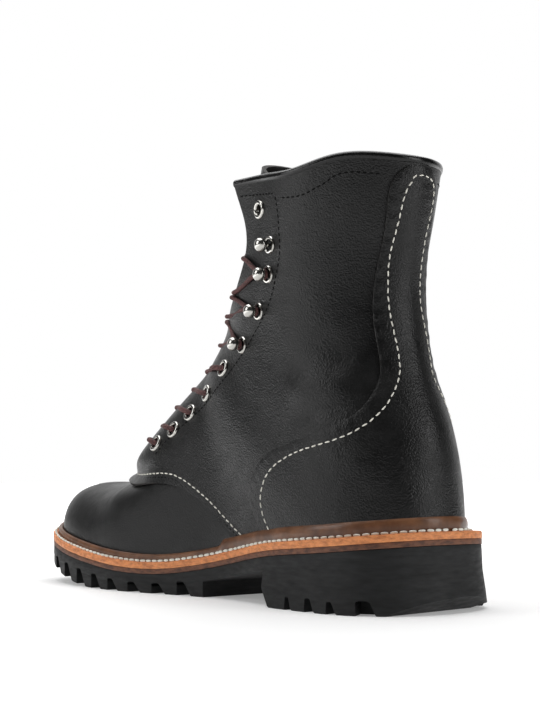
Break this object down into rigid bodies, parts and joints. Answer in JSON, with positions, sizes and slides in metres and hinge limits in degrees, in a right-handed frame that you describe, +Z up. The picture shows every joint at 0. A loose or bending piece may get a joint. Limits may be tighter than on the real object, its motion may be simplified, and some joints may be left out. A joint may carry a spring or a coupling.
{
  "type": "work boot",
  "caption": "Tall laced leather work boot for a right foot, with a plain toe, stitched welt, lugged rubber sole and raised separate heel.",
  "frame": {"origin": "centre of the footprint on the floor", "axes": "+Z up, +Y towards the heel with the toe at -Y, +X towards the inner side of the foot"},
  "size_m": [0.1093, 0.3066, 0.222],
  "materials": {
    "leather": "black oil-tanned leather, satin",
    "rubber": "matt dark grey rubber",
    "tan_edge": "tan edge-stained leather",
    "dark_edge": "dark brown leather edge",
    "welt_leather": "brown leather",
    "insole_leather": "natural leather",
    "nickel": "bright nickel plate",
    "cord": "dark brown round woven cord"
  },
  "bodies": {
    "root": {"outsole": "rubber", "heel": "rubber", "slip_sole": "dark_edge", "midsole": "tan_edge", "welt": "welt_leather", "insole": "insole_leather", "upper": "leather", "counter": "leather", "collar_binding": "leather", "tongue": "leather", "eyelet_inner_1": "nickel", "eyelet_inner_2": "nickel", "eyelet_inner_3": "nickel", "eyelet_inner_4": "nickel", "eyelet_inner_5": "nickel", "eyelet_inner_6": "nickel", "eyelet_outer_1": "nickel", "eyelet_outer_2": "nickel", "eyelet_outer_3": "nickel", "eyelet_outer_4": "nickel", "eyelet_outer_5": "nickel", "eyelet_outer_6": "nickel", "hook_inner_1": "nickel", "hook_inner_2": "nickel", "hook_inner_3": "nickel", "hook_inner_4": "nickel", "hook_outer_1": "nickel", "hook_outer_2": "nickel", "hook_outer_3": "nickel", "hook_outer_4": "nickel", "lace_bar": "cord", "lace_cross_1": "cord", "lace_cross_2": "cord", "lace_cross_3": "cord", "lace_cross_4": "cord", "lace_cross_5": "cord", "lace_cross_6": "cord", "lace_cross_7": "cord"}
  },
  "joints": []
}
